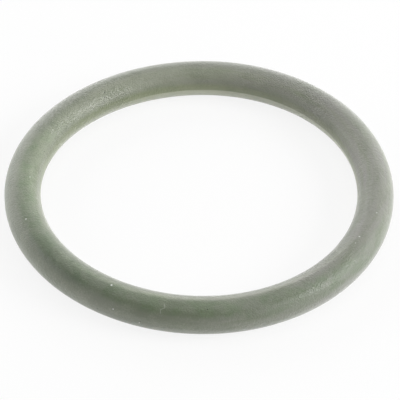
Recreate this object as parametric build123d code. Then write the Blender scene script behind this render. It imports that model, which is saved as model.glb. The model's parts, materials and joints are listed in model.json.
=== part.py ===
"""A moulded rubber o-ring, lying flat: one solid of revolution about +Z."""
import os
from math import sqrt

from build123d import *

# Driving dimensions, in millimetres
INNER_DIAMETER = 35.0    # across the hole, at its narrowest
SECTION_DIAMETER = 4.0   # of the round cross-section, which is also the ring's height
TRIM_LAND_WIDTH = 0.4    # height of the narrow flat left where each line of mould flash was trimmed

# Sizes that follow from them
SECTION_RADIUS = SECTION_DIAMETER / 2
LAND_OFFSET = sqrt(SECTION_RADIUS**2 - (TRIM_LAND_WIDTH / 2) ** 2)  # section's centre to a land
MEAN_RADIUS = INNER_DIAMETER / 2 + LAND_OFFSET                      # ring's axis to the section's centre


def section_profile():
    """Round section in the XZ plane, trimmed flat at the parting plane, inside and outside."""
    land_top = TRIM_LAND_WIDTH / 2
    inner_top = (MEAN_RADIUS - LAND_OFFSET, land_top)
    inner_bottom = (MEAN_RADIUS - LAND_OFFSET, -land_top)
    outer_top = (MEAN_RADIUS + LAND_OFFSET, land_top)
    outer_bottom = (MEAN_RADIUS + LAND_OFFSET, -land_top)
    with BuildSketch(Plane.XZ) as profile:
        with BuildLine():
            Line(inner_bottom, inner_top)
            ThreePointArc(inner_top, (MEAN_RADIUS, SECTION_RADIUS), outer_top)
            Line(outer_top, outer_bottom)
            ThreePointArc(outer_bottom, (MEAN_RADIUS, -SECTION_RADIUS), inner_bottom)
        make_face()
    return profile.sketch


def o_ring():
    """The whole ring, with its hole and its outside ending in the two narrow cylindrical lands."""
    return revolve(section_profile(), axis=Axis.Z)


os.makedirs("parts", exist_ok=True)
export_step(o_ring(), "parts/o_ring.step")
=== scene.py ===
"""Looks of a grey-green rubber o-ring that lies flat on a white table.

Lengths are in metres. Left and right are -X and +X, and near and far are -Y and +Y.
"""
import json
from collections import namedtuple
from math import asin, cos, pi, radians, sin, tan

import bpy
from mathutils import Matrix, Vector, noise


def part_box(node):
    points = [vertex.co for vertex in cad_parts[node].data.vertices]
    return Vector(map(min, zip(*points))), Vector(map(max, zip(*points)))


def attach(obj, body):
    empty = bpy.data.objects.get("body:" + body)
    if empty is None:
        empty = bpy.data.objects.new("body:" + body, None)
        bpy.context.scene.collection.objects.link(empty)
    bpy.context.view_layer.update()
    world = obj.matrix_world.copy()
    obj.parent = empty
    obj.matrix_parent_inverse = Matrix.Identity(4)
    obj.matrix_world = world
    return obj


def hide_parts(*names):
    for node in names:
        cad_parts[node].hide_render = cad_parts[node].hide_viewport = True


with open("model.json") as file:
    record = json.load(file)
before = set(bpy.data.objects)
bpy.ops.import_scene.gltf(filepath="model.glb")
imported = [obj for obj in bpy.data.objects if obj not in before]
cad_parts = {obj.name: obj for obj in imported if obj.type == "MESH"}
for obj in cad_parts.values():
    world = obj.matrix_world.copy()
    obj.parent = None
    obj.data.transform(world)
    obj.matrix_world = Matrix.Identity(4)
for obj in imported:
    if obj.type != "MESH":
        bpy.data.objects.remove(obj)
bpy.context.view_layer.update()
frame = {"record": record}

MM = 0.001

# Sizes of the ring, from its frame
MOUNTS = {mount["name"]: mount["dims"] for mount in frame["record"]["mounts"]}
BORE_RADIUS = MOUNTS["bore"]["r_mm"] * MM
OUTER_RADIUS = MOUNTS["outside"]["r_mm"] * MM
LAND_WIDTH = MOUNTS["bore"]["length_mm"] * MM
SECTION_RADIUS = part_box("o_ring")[1].z
MEAN_RADIUS = (BORE_RADIUS + OUTER_RADIUS) / 2
LAND_OFFSET = (OUTER_RADIUS - BORE_RADIUS) / 2

# The relaxed rubber isn't quite round: three soft lobes, the first at this angle from +X
LOBES = 3
LOBE_HEIGHT = 0.119 * MM
LOBE_ANGLE = radians(53.2)

# Low waves that the mould leaves on the skin
WAVE_SIZE = 1.3 * MM
WAVE_HEIGHT = 0.006 * MM

# Mesh: steps round the ring, over each half of the section, and across each trimmed land
STEPS_AROUND = 960
STEPS_PER_HALF = 46
STEPS_PER_LAND = 4

# Rubber colours, in linear light
DEEP_GREEN = (0.156, 0.179, 0.122, 1)
PALE_GREEN = (0.244, 0.266, 0.198, 1)
BLOOM_GREY = (0.222, 0.217, 0.201, 1)
# Pale colour of the painted light from the white table on the bore's lower wall
TABLE_LIGHT_PALE = (0.430, 0.450, 0.345, 1)
PIT_DARK = (0.050, 0.055, 0.040, 1)
DUST_WHITE = (0.700, 0.710, 0.680, 1)

# Tints, which the colour is multiplied by in places
STREAK_TINT = (0.84, 0.86, 0.82, 1)
# Deeper green over the near side's top: partly skin without bloom, partly painted shade where it reflects
# the dark space overhead
CLEAN_AND_SHADE_TINT = (0.75, 0.89, 0.70, 1)
# Painted highlight: a pale band along the near inner edge, where the skin reflects the lamps beyond the
# ring
RIM_HIGHLIGHT_TINT = (1.40, 1.36, 1.40, 1)
STAIN_TINT = (0.54, 0.58, 0.55, 1)
# Painted light on the far side's inner shoulder, and painted shade on its crest
SHOULDER_LIGHT_TINT = (1.15, 1.14, 1.14, 1)
CREST_SHADE_TINT = (0.86, 0.86, 0.86, 1)
# Olive of the bore's wall, partly the rubber's own colour and partly painted shade
WALL_OLIVE_AND_SHADE_TINT = (0.81, 0.855, 0.62, 1)

# Mottle from deep to pale green: its size, the grain's share in it, how far its tone drifts from the
# middle to the near and far ends, and how far from its mean the tone is all deep or all pale
MOTTLE_SIZE = 2.6 * MM
SPECKLE = 0.6
TONE_DRIFT = 0.15
TONE_SPREAD = 0.3

# Streaks along the ring, and the levels of their noise between which each of their effects comes or goes
STREAK_LENGTH = 6.0 * MM
STREAK_WIDTH = 0.9 * MM
BLOOM_COMES = (0.2, 0.8)
DARK_GOES = (0.3, 0.6)
DULL_COMES = (0.3, 0.7)

# Strength of the grey bloom at the ring's left and right ends
BLOOM_LEFT = 0.15
BLOOM_RIGHT = 0.9

# Bands of another tint along the ring, with angles in degrees. Start and end are angles round the ring
# from the band's side, positive to the right. Middle is an angle round the section, which falls by the
# lean for each degree round the ring. Even and edge are the half widths of the band's even part and of
# the whole band. Patchiness is the share of the tint that is missing between its patches.
NEAR, FAR = -1, 1
Band = namedtuple("Band", "side middle lean even edge start end patchiness tint")
# The stain band is the rubber's own colour. The other bands are painted light and shade, the near top's
# band in part.
BANDS = (
    # Near top: partly skin without bloom, partly painted shade
    Band(NEAR, 62, 0.48, 15, 45, -115, 65, 0.55, CLEAN_AND_SHADE_TINT),
    # Painted highlight along the near inner edge
    Band(NEAR, 101, 0.0, 4, 12, -50, 55, 0.0, RIM_HIGHLIGHT_TINT),
    Band(NEAR, 78, 0.0, 20, 48, -58, -34, 0.5, STAIN_TINT),
    # Painted light on the far inner shoulder
    Band(FAR, 128, 0.0, 10, 32, -115, 95, 0.0, SHOULDER_LIGHT_TINT),
    # Painted shade on the far crest
    Band(FAR, 80, 0.0, 10, 28, -70, 70, 0.0, CREST_SHADE_TINT),
)

# Angle before and behind each end of a band over which it fades
BAND_END_FADE = radians(20)

# Patches of the patchy bands: their size, and the levels of their noise between which they come
PATCH_SIZE = 1.9 * MM
PATCH_COMES = (0.4, 0.6)

# Inner wall, by height from the middle of the section: an olive tint, partly painted shade, and a pale
# strip of painted light from the white table over it
WALL_TOP = 1.0 * MM
WALL_FADE = 0.75 * MM
TABLE_LIGHT_TOP = -0.08 * MM
TABLE_LIGHT_TOP_FADE = 0.22 * MM
TABLE_LIGHT_BOTTOM = -0.9 * MM
TABLE_LIGHT_BOTTOM_FADE = 0.7 * MM

# Strength of the painted table light at the ring's left and right ends. At 1 and above, right of the
# middle, it is full.
TABLE_LIGHT_LEFT = 0.0
TABLE_LIGHT_RIGHT = 2.0

# Marks on the skin: angle round the ring from +X, angle up round the section from its outer side, both in
# degrees, and diameter
DUST_SPECKS = (
    (200.5, 75.9, 0.20 * MM),
    (241.8, 87.5, 0.24 * MM),
    (330.4, 85.8, 0.18 * MM),
    (245.0, 17.2, 0.16 * MM),
    (253.0, 353.6, 0.16 * MM),
    (180.1, 116.5, 0.14 * MM),
    (327.2, 83.2, 0.12 * MM),
    (343.0, 73.0, 0.13 * MM),
    (38.0, 20.0, 0.18 * MM),
    (85.0, 352.0, 0.16 * MM),
    (118.0, 28.0, 0.22 * MM),
    (152.0, 5.0, 0.14 * MM),
)
PITS = (
    (164.5, 140.5, 0.16 * MM),
    (127.8, 136.9, 0.18 * MM),
    (126.9, 121.8, 0.20 * MM),
    (272.2, 61.6, 0.16 * MM),
    (240.0, 355.0, 0.18 * MM),
    (304.0, 356.0, 0.18 * MM),
    (253.3, 0.0, 0.15 * MM),
    (185.0, 74.0, 0.13 * MM),
    (316.2, 90.0, 0.13 * MM),
    (70.0, 35.0, 0.16 * MM),
    (135.0, 345.0, 0.18 * MM),
)
COARSE_PATCHES = (
    (138, 138, 16 * MM),
    (58, 152, 14 * MM),
    (312, 45, 14 * MM),
)

# Shares of a mark's diameter at which it starts to fade and is gone, as distances from its centre
MARK_CORE = 0.2
MARK_RIM = 0.6

# Thin fibre that sticks to the skin: the distances from its line between which it fades, how strongly
# it shows, and the two ends of each of its strands, as the same two angles
FIBRE_CORE = 0.015 * MM
FIBRE_RIM = 0.05 * MM
FIBRE_STRENGTH = 0.25
FIBRE_STRANDS = (
    ((259.5, 70.0), (259.9, 58.0)),
    ((259.9, 58.0), (258.7, 51.0)),
    ((258.7, 51.0), (258.9, 40.0)),
)

# Finish: roughness of the fine and of the coarse skin, what the bloom adds to it, and a dusty sheen
ROUGHNESS_FINE = 0.34
ROUGHNESS_COARSE = 0.19
ROUGHNESS_SPREAD = 0.08
SHEEN = 0.25
SHEEN_ROUGHNESS = 0.55

# Grain and orange peel of the skin
GRAIN_SIZE = 0.13 * MM
GRAIN_HEIGHT_FINE = 0.030 * MM
GRAIN_HEIGHT_COARSE = 0.064 * MM
PEEL_SIZE = 0.45 * MM
PEEL_HEIGHT = 0.042 * MM

# Strength of the coarse patches at the ring's near end, as a share of that at its far end
COARSE_NEAR_SHARE = 0.55

# Strength of each finer layer of a noise, as a share of the layer before it
NOISE_ROUGHNESS = 0.6

# Studio lamps: azimuth from +X, elevation, width and height, in degrees as seen from the ring, and
# brightness
LAMP_DISTANCE = 0.6
LAMPS = {
    "key_softbox": (348, 29, 28, 24, 7.7),
    "right_softbox": (338, 20, 64, 36, 1.77),
    "back_right_softbox": (47, 20, 70, 36, 1.55),
    "back_left_softbox": (128, 20, 80, 36, 2.15),
    "left_softbox": (195, 20, 66, 36, 1.06),
    "high_softbox": (27, 52, 80, 40, 0.34),
    "overhead_softbox": (0, 89, 50, 50, 1.03),
}

# Table: half its width, its white, and the share of it that is a plain white glow to the camera
TABLE_HALF = 3.0
TABLE_WHITE = (0.95, 0.95, 0.95, 1)
TABLE_GLOW_SHARE = 0.86

# Surroundings: their colour, their brightness in reflections on the camera's side and beyond the ring,
# and the Y of the two directions between which it changes
WORLD_WHITE = (1, 1, 1, 1)
WORLD_NEAR = 0.2
WORLD_FAR = 0.55
WORLD_CHANGE = (-0.5, 0.6)

# Camera, with its lens and its sensor in millimetres
CAMERA_ELEVATION = radians(42.04)
CAMERA_DISTANCE = 245.1 * MM
CAMERA_ROLL = radians(0.151)
CAMERA_LENS = 199.5
SENSOR_WIDTH = 36.0
CLIP_START = 10 * MM
AIM_BELOW_CENTRE = 1.19 * MM


# Geometry of the ring
def section_angles():
    """Angles round the section from its outer land's lower edge, with a vertex on each land's edges."""
    land_half_angle = asin(LAND_WIDTH / 2 / SECTION_RADIUS)
    spans = (
        (-land_half_angle, land_half_angle, STEPS_PER_LAND),
        (land_half_angle, pi - land_half_angle, STEPS_PER_HALF),
        (pi - land_half_angle, pi + land_half_angle, STEPS_PER_LAND),
        (pi + land_half_angle, 2 * pi - land_half_angle, STEPS_PER_HALF),
    )
    angles = []
    for start, end, steps in spans:
        angles += [start + (end - start) * step / steps for step in range(steps)]
    return angles


def ring_point(around, across):
    """Point of the surface at an angle round the ring and an angle round the section."""
    out = max(-LAND_OFFSET, min(LAND_OFFSET, SECTION_RADIUS * cos(across)))
    radius = MEAN_RADIUS + LOBE_HEIGHT * cos(LOBES * (around - LOBE_ANGLE)) + out
    return Vector((radius * cos(around), radius * sin(around), SECTION_RADIUS * sin(across)))


def outward(around, across):
    """Direction straight out of the section."""
    return Vector((cos(across) * cos(around), cos(across) * sin(around), sin(across)))


def wavy_point(around, across):
    """Point of the surface with the skin's low waves, which only ever sink below the true section."""
    point = ring_point(around, across)
    depth = WAVE_HEIGHT * (1 - noise.noise(point / WAVE_SIZE)) / 2
    return point - outward(around, across) * depth


def new_object(name, points, faces):
    """Adds a mesh object to the scene."""
    mesh = bpy.data.meshes.new(name)
    mesh.from_pydata(points, [], faces)
    made = bpy.data.objects.new(name, mesh)
    bpy.context.collection.objects.link(made)
    return made


def make_ring():
    """The moulded ring as one closed mesh."""
    section = section_angles()
    count = len(section)
    points = []
    faces = []
    for step in range(STEPS_AROUND):
        around = 2 * pi * step / STEPS_AROUND
        points += [wavy_point(around, across) for across in section]
        this_row = step * count
        next_row = (step + 1) % STEPS_AROUND * count
        for here in range(count):
            after = (here + 1) % count
            faces.append((this_row + here, next_row + here, next_row + after, this_row + after))
    ring = new_object("rubber_ring", points, faces)
    ring.data.shade_smooth()
    return ring


# Shader nodes
def add(tree, kind, sockets, **settings):
    """Adds a node with these settings. Each of its named or numbered sockets gets a value or a link."""
    node = tree.nodes.new(kind)
    for name, value in settings.items():
        setattr(node, name, value)
    for name, value in sockets.items():
        if isinstance(value, bpy.types.NodeSocket):
            tree.links.new(value, node.inputs[name])
        else:
            node.inputs[name].default_value = value
    return node


def calculate(tree, operation, first, second=0.0):
    """One sum on two numbers, or on the first alone."""
    return add(tree, "ShaderNodeMath", {0: first, 1: second}, operation=operation).outputs[0]


def measure(tree, operation, first, second=(0, 0, 0)):
    """One sum on two vectors, or on the first alone, that gives a number."""
    sockets = {0: first, 1: second}
    return add(tree, "ShaderNodeVectorMath", sockets, operation=operation).outputs["Value"]


def coordinates(tree, vector):
    """The X, Y and Z of a vector, by name."""
    return add(tree, "ShaderNodeSeparateXYZ", {"Vector": vector}).outputs


def ramp(tree, value, start, end, low=0.0, high=1.0):
    """Moves a number smoothly from low to high while the value goes from start to end."""
    sockets = {"Value": value, "From Min": start, "From Max": end, "To Min": low, "To Max": high}
    return add(tree, "ShaderNodeMapRange", sockets, interpolation_type="SMOOTHSTEP").outputs["Result"]


def fall(tree, value, start, end):
    """Moves smoothly from one to zero while the value goes from start to end."""
    return ramp(tree, value, start, end, 1.0, 0.0)


def blend(tree, factor, first, second, kind="MIX"):
    """Colour that goes from the first to the second. The node's colour sockets go by their numbers."""
    sockets = {"Factor": factor, 6: first, 7: second}
    return add(tree, "ShaderNodeMix", sockets, data_type="RGBA", blend_type=kind).outputs[2]


def tinted(tree, factor, colour, tint):
    """The colour, multiplied by the tint as far as the factor says."""
    return blend(tree, factor, colour, tint, "MULTIPLY")


def grain_noise(tree, place, size, detail):
    """Even grain of this size."""
    sockets = {"Vector": place, "Scale": 1 / size, "Detail": detail, "Roughness": NOISE_ROUGHNESS}
    return add(tree, "ShaderNodeTexNoise", sockets).outputs["Fac"]


# Places on the ring
def reach(tree, place):
    """Distance from the ring's axis."""
    flat = add(tree, "ShaderNodeVectorMath", {0: place, 1: (1, 1, 0)}, operation="MULTIPLY").outputs[0]
    return measure(tree, "LENGTH", flat)


def streak_noise(tree, place):
    """Blotches drawn out along the ring: slow round it, quick across its section."""
    parts = coordinates(tree, place)
    stretched = {
        "X": calculate(tree, "DIVIDE", parts["X"], STREAK_LENGTH),
        "Y": calculate(tree, "DIVIDE", parts["Y"], STREAK_LENGTH),
        "Z": calculate(tree, "DIVIDE", reach(tree, place), STREAK_WIDTH),
    }
    sockets = {
        "Vector": add(tree, "ShaderNodeCombineXYZ", stretched).outputs[0],
        "W": calculate(tree, "DIVIDE", parts["Z"], STREAK_WIDTH),
        "Scale": 1.0,
        "Detail": 3.0,
        "Roughness": NOISE_ROUGHNESS,
    }
    return add(tree, "ShaderNodeTexNoise", sockets, noise_dimensions="4D").outputs["Fac"]


def drift(tree, place, axis, first, last):
    """Slow change across the whole ring along X or Y, from its low end to its high end."""
    return ramp(tree, coordinates(tree, place)[axis], -MEAN_RADIUS, MEAN_RADIUS, first, last)


def inner_mask(tree, place, top, fade):
    """One at the bore's wall. It fades to zero up to the top, and out to the middle of the section."""
    below = fall(tree, coordinates(tree, place)["Z"], top - fade, top)
    inside = fall(tree, reach(tree, place), BORE_RADIUS, MEAN_RADIUS)
    return calculate(tree, "MULTIPLY", below, inside)


def band_mask(tree, place, band):
    """One along the middle of a band, with soft edges and ends."""
    parts = coordinates(tree, place)
    to_side = calculate(tree, "MULTIPLY", parts["Y"], band.side)
    around = calculate(tree, "ARCTAN2", parts["X"], to_side)
    out = calculate(tree, "SUBTRACT", reach(tree, place), MEAN_RADIUS)
    across = calculate(tree, "ARCTAN2", parts["Z"], out)

    slant = calculate(tree, "MULTIPLY", around, band.lean)
    level = calculate(tree, "ADD", across, slant)
    away = calculate(tree, "ABSOLUTE", calculate(tree, "SUBTRACT", level, radians(band.middle)))
    mask = fall(tree, away, radians(band.even), radians(band.edge))

    start = radians(band.start)
    end = radians(band.end)
    begun = ramp(tree, around, start - BAND_END_FADE, start + BAND_END_FADE)
    going = fall(tree, around, end - BAND_END_FADE, end + BAND_END_FADE)
    return calculate(tree, "MULTIPLY", mask, calculate(tree, "MULTIPLY", begun, going))


def spot_mask(tree, place, spots):
    """One inside any of the round spots and zero outside them, with soft rims."""
    mask = 0.0
    for around, across, diameter in spots:
        away = measure(tree, "DISTANCE", place, ring_point(radians(around), radians(across)))
        spot = fall(tree, away, diameter * MARK_CORE, diameter * MARK_RIM)
        mask = calculate(tree, "MAXIMUM", mask, spot)
    return mask


def fibre_mask(tree, place):
    """One on any of the fibre's straight strands and zero beside them."""
    mask = 0.0
    for start, end in FIBRE_STRANDS:
        first = ring_point(*map(radians, start))
        along = ring_point(*map(radians, end)) - first
        offset = add(tree, "ShaderNodeVectorMath", {0: place, 1: first}, operation="SUBTRACT").outputs[0]
        share = measure(tree, "DOT_PRODUCT", offset, along / along.length_squared)
        held = add(tree, "ShaderNodeClamp", {"Value": share}).outputs[0]
        sockets = {0: along, "Scale": held}
        nearest = add(tree, "ShaderNodeVectorMath", sockets, operation="SCALE").outputs[0]
        away = measure(tree, "DISTANCE", offset, nearest)
        strand = fall(tree, away, FIBRE_CORE, FIBRE_RIM)
        mask = calculate(tree, "MAXIMUM", mask, strand)
    return mask


# Rubber
def mottled_green(tree, place, grain):
    """Deep to pale green, mottled and speckled, and paler towards the far side."""
    mottle = grain_noise(tree, place, MOTTLE_SIZE, detail=4.0)
    speckle = calculate(tree, "MULTIPLY", grain, SPECKLE)
    speckled = calculate(tree, "ADD", mottle, speckle)
    tone = calculate(tree, "ADD", speckled, drift(tree, place, "Y", -TONE_DRIFT, TONE_DRIFT))
    middle = (1 + SPECKLE) / 2
    paleness = ramp(tree, tone, middle - TONE_SPREAD, middle + TONE_SPREAD)
    return blend(tree, paleness, DEEP_GREEN, PALE_GREEN)


def add_streaks(tree, place, colour, streak):
    """Grey bloom that grows towards the right, and darker streaks where there is least of it."""
    strength = drift(tree, place, "X", BLOOM_LEFT, BLOOM_RIGHT)
    bloom = calculate(tree, "MULTIPLY", strength, ramp(tree, streak, *BLOOM_COMES))
    colour = blend(tree, bloom, colour, BLOOM_GREY)
    return tinted(tree, fall(tree, streak, *DARK_GOES), colour, STREAK_TINT)


def add_bands(tree, place, colour):
    """Bands of other tints along the ring, some of them patchy. The stain is the rubber's own; the others
    are painted light and shade, in full or in part.
    """
    patch = grain_noise(tree, place, PATCH_SIZE, detail=3.0)
    for band in BANDS:
        patchy = ramp(tree, patch, *PATCH_COMES, 1.0 - band.patchiness, 1.0)
        factor = calculate(tree, "MULTIPLY", band_mask(tree, place, band), patchy)
        colour = tinted(tree, factor, colour, band.tint)
    return colour


def add_inner_wall(tree, place, colour):
    """Olive inner wall, partly painted shade, with a pale strip of painted light from the table below its
    land.
    """
    colour = tinted(tree, inner_mask(tree, place, WALL_TOP, WALL_FADE), colour, WALL_OLIVE_AND_SHADE_TINT)
    # Painted light: the white table's glow on the wall below its land, fading towards the left
    below_top = inner_mask(tree, place, TABLE_LIGHT_TOP, TABLE_LIGHT_TOP_FADE)
    below_bottom = inner_mask(tree, place, TABLE_LIGHT_BOTTOM, TABLE_LIGHT_BOTTOM_FADE)
    strip = calculate(tree, "SUBTRACT", below_top, below_bottom)
    table_light = calculate(tree, "MULTIPLY", strip, drift(tree, place, "X", TABLE_LIGHT_LEFT, TABLE_LIGHT_RIGHT))
    return blend(tree, table_light, colour, TABLE_LIGHT_PALE)


def add_marks(tree, place, colour):
    """Dark pits, white dust and a faint fibre."""
    colour = blend(tree, spot_mask(tree, place, PITS), colour, PIT_DARK)
    fibre = calculate(tree, "MULTIPLY", fibre_mask(tree, place), FIBRE_STRENGTH)
    dust = calculate(tree, "MAXIMUM", spot_mask(tree, place, DUST_SPECKS), fibre)
    return blend(tree, dust, colour, DUST_WHITE)


def skin_roughness(tree, coarse, streak):
    """Glossier where the skin is coarse, and duller under the bloom."""
    skin = ramp(tree, coarse, 0.0, 1.0, ROUGHNESS_FINE, ROUGHNESS_COARSE)
    bloom = ramp(tree, streak, *DULL_COMES, 0.0, ROUGHNESS_SPREAD)
    return calculate(tree, "ADD", skin, bloom)


def skin_bump(tree, place, grain, coarse):
    """Grain, higher where the skin is coarse, over a faint orange peel. The heights are in metres."""
    grain_height = ramp(tree, coarse, 0.0, 1.0, GRAIN_HEIGHT_FINE, GRAIN_HEIGHT_COARSE)
    grain_rise = calculate(tree, "MULTIPLY", grain, grain_height)
    peel = grain_noise(tree, place, PEEL_SIZE, detail=1.0)
    peel_rise = calculate(tree, "MULTIPLY", peel, PEEL_HEIGHT)
    height = calculate(tree, "ADD", grain_rise, peel_rise)
    bump = add(tree, "ShaderNodeBump", {"Height": height, "Distance": 1.0, "Strength": 1.0})
    return bump.outputs["Normal"]


def rubber_material():
    """Satin grey-green rubber: mottled colour, a pale bloom in streaks, fine grain, a few marks, and
    painted light and shade in bands and on the bore's wall.
    """
    material = bpy.data.materials.new("seal_rubber")
    material.use_nodes = True
    tree = material.node_tree
    shader = tree.nodes["Principled BSDF"]
    shader.inputs["Sheen Weight"].default_value = SHEEN
    shader.inputs["Sheen Roughness"].default_value = SHEEN_ROUGHNESS

    place = add(tree, "ShaderNodeTexCoord", {}).outputs["Object"]
    grain = grain_noise(tree, place, GRAIN_SIZE, detail=0.0)
    streak = streak_noise(tree, place)
    patches = spot_mask(tree, place, COARSE_PATCHES)
    coarse = calculate(tree, "MULTIPLY", patches, drift(tree, place, "Y", COARSE_NEAR_SHARE, 1.0))

    colour = mottled_green(tree, place, grain)
    colour = add_streaks(tree, place, colour, streak)
    colour = add_bands(tree, place, colour)
    colour = add_inner_wall(tree, place, colour)
    colour = add_marks(tree, place, colour)
    tree.links.new(colour, shader.inputs["Base Color"])
    tree.links.new(skin_roughness(tree, coarse, streak), shader.inputs["Roughness"])
    tree.links.new(skin_bump(tree, place, grain, coarse), shader.inputs["Normal"])
    return material


# Stage
def stage_rays(tree):
    """Two switches: one for the camera's rays, and one for rays in a reflection or through glass."""
    path = add(tree, "ShaderNodeLightPath", {}).outputs
    mirrored = calculate(tree, "MAXIMUM", path["Is Glossy Ray"], path["Is Transmission Ray"])
    return path["Is Camera Ray"], mirrored


def table_material():
    """Matt white that mostly glows to the camera, yet keeps the ring's shadow, and glows in reflections."""
    material = bpy.data.materials.new("white_table")
    material.use_nodes = True
    tree = material.node_tree
    tree.nodes.remove(tree.nodes["Principled BSDF"])
    matt = add(tree, "ShaderNodeBsdfDiffuse", {"Color": TABLE_WHITE}).outputs[0]
    glow = add(tree, "ShaderNodeEmission", {"Strength": 1.0}).outputs[0]
    camera_ray, mirrored = stage_rays(tree)
    share = calculate(tree, "MULTIPLY", camera_ray, TABLE_GLOW_SHARE)
    surface = add(tree, "ShaderNodeMixShader", {0: share, 1: matt, 2: glow}).outputs[0]
    mirrored_glow = add(tree, "ShaderNodeEmission", {"Strength": mirrored}).outputs[0]
    surface = add(tree, "ShaderNodeAddShader", {0: surface, 1: mirrored_glow}).outputs[0]
    tree.links.new(surface, tree.nodes["Material Output"].inputs["Surface"])
    return material


def make_floor():
    """White table under the ring."""
    corners = [(x * TABLE_HALF, y * TABLE_HALF, 0) for x, y in ((-1, -1), (1, -1), (1, 1), (-1, 1))]
    floor = new_object("floor", corners, [(0, 1, 2, 3)])
    floor.location.z = -SECTION_RADIUS
    floor.data.materials.append(table_material())


def make_world():
    """Surroundings that are white to the camera, dimmer in reflections, and light nothing else."""
    world = bpy.data.worlds.new("studio")
    bpy.context.scene.world = world
    world.use_nodes = True
    tree = world.node_tree
    camera_ray, mirrored = stage_rays(tree)
    direction = add(tree, "ShaderNodeTexCoord", {}).outputs["Generated"]
    level = ramp(tree, coordinates(tree, direction)["Y"], *WORLD_CHANGE, WORLD_NEAR, WORLD_FAR)
    reflected = calculate(tree, "MULTIPLY", mirrored, level)
    strength = calculate(tree, "MAXIMUM", camera_ray, reflected)
    background = tree.nodes["Background"]
    background.inputs["Color"].default_value = WORLD_WHITE
    tree.links.new(strength, background.inputs["Strength"])


def make_lamp(name, azimuth, elevation, width, height, brightness):
    """Softbox that faces the ring. Brightness is its surface's radiance, where 1 is white."""
    azimuth, elevation = radians(azimuth), radians(elevation)
    towards = Vector((cos(elevation) * cos(azimuth), cos(elevation) * sin(azimuth), sin(elevation)))
    data = bpy.data.lights.new(name, "AREA")
    data.shape = "RECTANGLE"
    data.size = 2 * LAMP_DISTANCE * tan(radians(width) / 2)
    data.size_y = 2 * LAMP_DISTANCE * tan(radians(height) / 2)
    data.energy = brightness * pi * data.size * data.size_y
    lamp = bpy.data.objects.new(name, data)
    turn = towards.to_track_quat("Z", "Y").to_matrix().to_4x4()
    lamp.matrix_world = Matrix.Translation(towards * LAMP_DISTANCE) @ turn
    bpy.context.collection.objects.link(lamp)


def make_camera():
    """Camera at the photograph's height and distance, aimed a little below the ring's centre."""
    place = Vector((0, -cos(CAMERA_ELEVATION), sin(CAMERA_ELEVATION))) * CAMERA_DISTANCE
    up = Vector((0, sin(CAMERA_ELEVATION), cos(CAMERA_ELEVATION)))
    aim = -up * AIM_BELOW_CENTRE
    data = bpy.data.cameras.new("camera")
    data.sensor_width = SENSOR_WIDTH
    data.lens = CAMERA_LENS
    data.clip_start = CLIP_START
    camera = bpy.data.objects.new("camera", data)
    turn = (aim - place).to_track_quat("-Z", "Y").to_matrix() @ Matrix.Rotation(CAMERA_ROLL, 3, "Z")
    camera.matrix_world = Matrix.Translation(place) @ turn.to_4x4()
    bpy.context.collection.objects.link(camera)
    bpy.context.scene.camera = camera


# The ring, then its stage
ring = make_ring()
ring.data.materials.append(rubber_material())
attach(ring, "root")
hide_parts("o_ring")

make_floor()
make_world()
for lamp_name, settings in LAMPS.items():
    make_lamp(lamp_name, *settings)
make_camera()
bpy.context.scene.view_settings.view_transform = "Standard"
